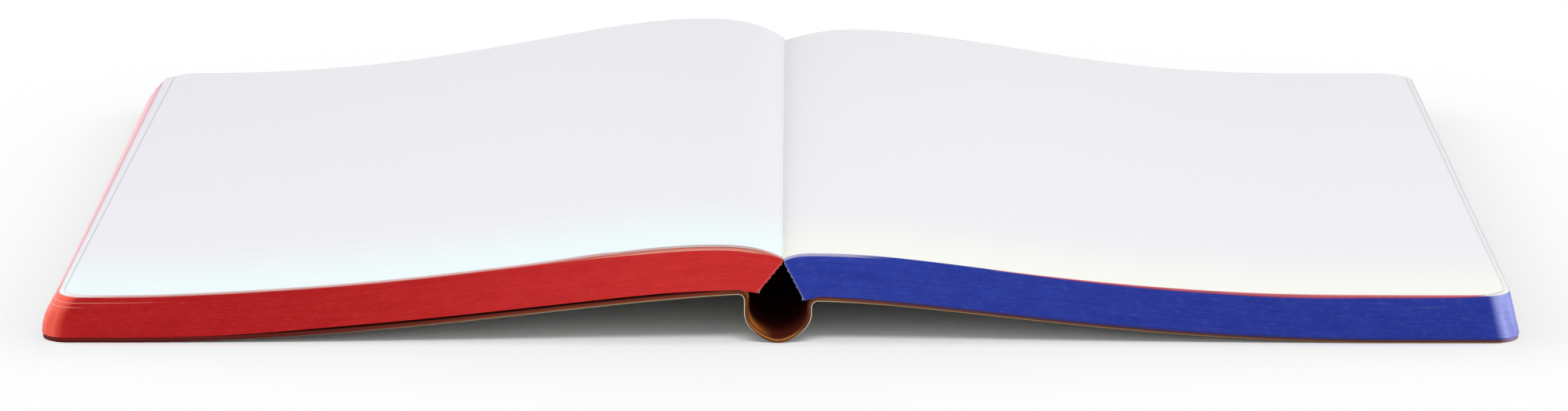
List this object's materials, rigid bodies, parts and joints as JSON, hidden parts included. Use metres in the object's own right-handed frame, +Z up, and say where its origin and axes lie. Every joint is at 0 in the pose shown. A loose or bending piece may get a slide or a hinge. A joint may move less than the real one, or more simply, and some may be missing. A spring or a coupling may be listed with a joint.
{
  "type": "notebook",
  "caption": "Soft-cover notebook lying open near its middle, leaves with dyed edges arched up to the gutter and the cover's back hanging as a loop; the front half swings over to close.",
  "frame": {"origin": "on the table below the middle of the open book", "axes": "+X across the open book to the reader's right, +Y from the foot edge to the head edge, +Z up"},
  "size_m": [0.337, 0.22, 0.0257],
  "materials": {
    "cover": "matt bonded leather, pale greige outside and brown inside",
    "front_leaves": "white uncoated leaves with edges dyed red",
    "back_leaves": "white uncoated leaves with edges dyed blue, the first few red",
    "lining": "open weave soaked in glue"
  },
  "bodies": {
    "back_half": {"back_cover": "cover", "back_pages": "back_leaves", "spine": "cover", "spine_lining": "lining"},
    "front_half": {"front_cover": "cover", "front_pages": "front_leaves"}
  },
  "joints": [
    {"name": "front_cover_hinge", "type": "hinge", "parent": "back_half", "child": "front_half", "pos_m": [0.00064, 0, 0.0215], "axis": [0, 1, 0], "range_deg": [0, 155], "deforming": ["spine", "spine_lining"]}
  ]
}
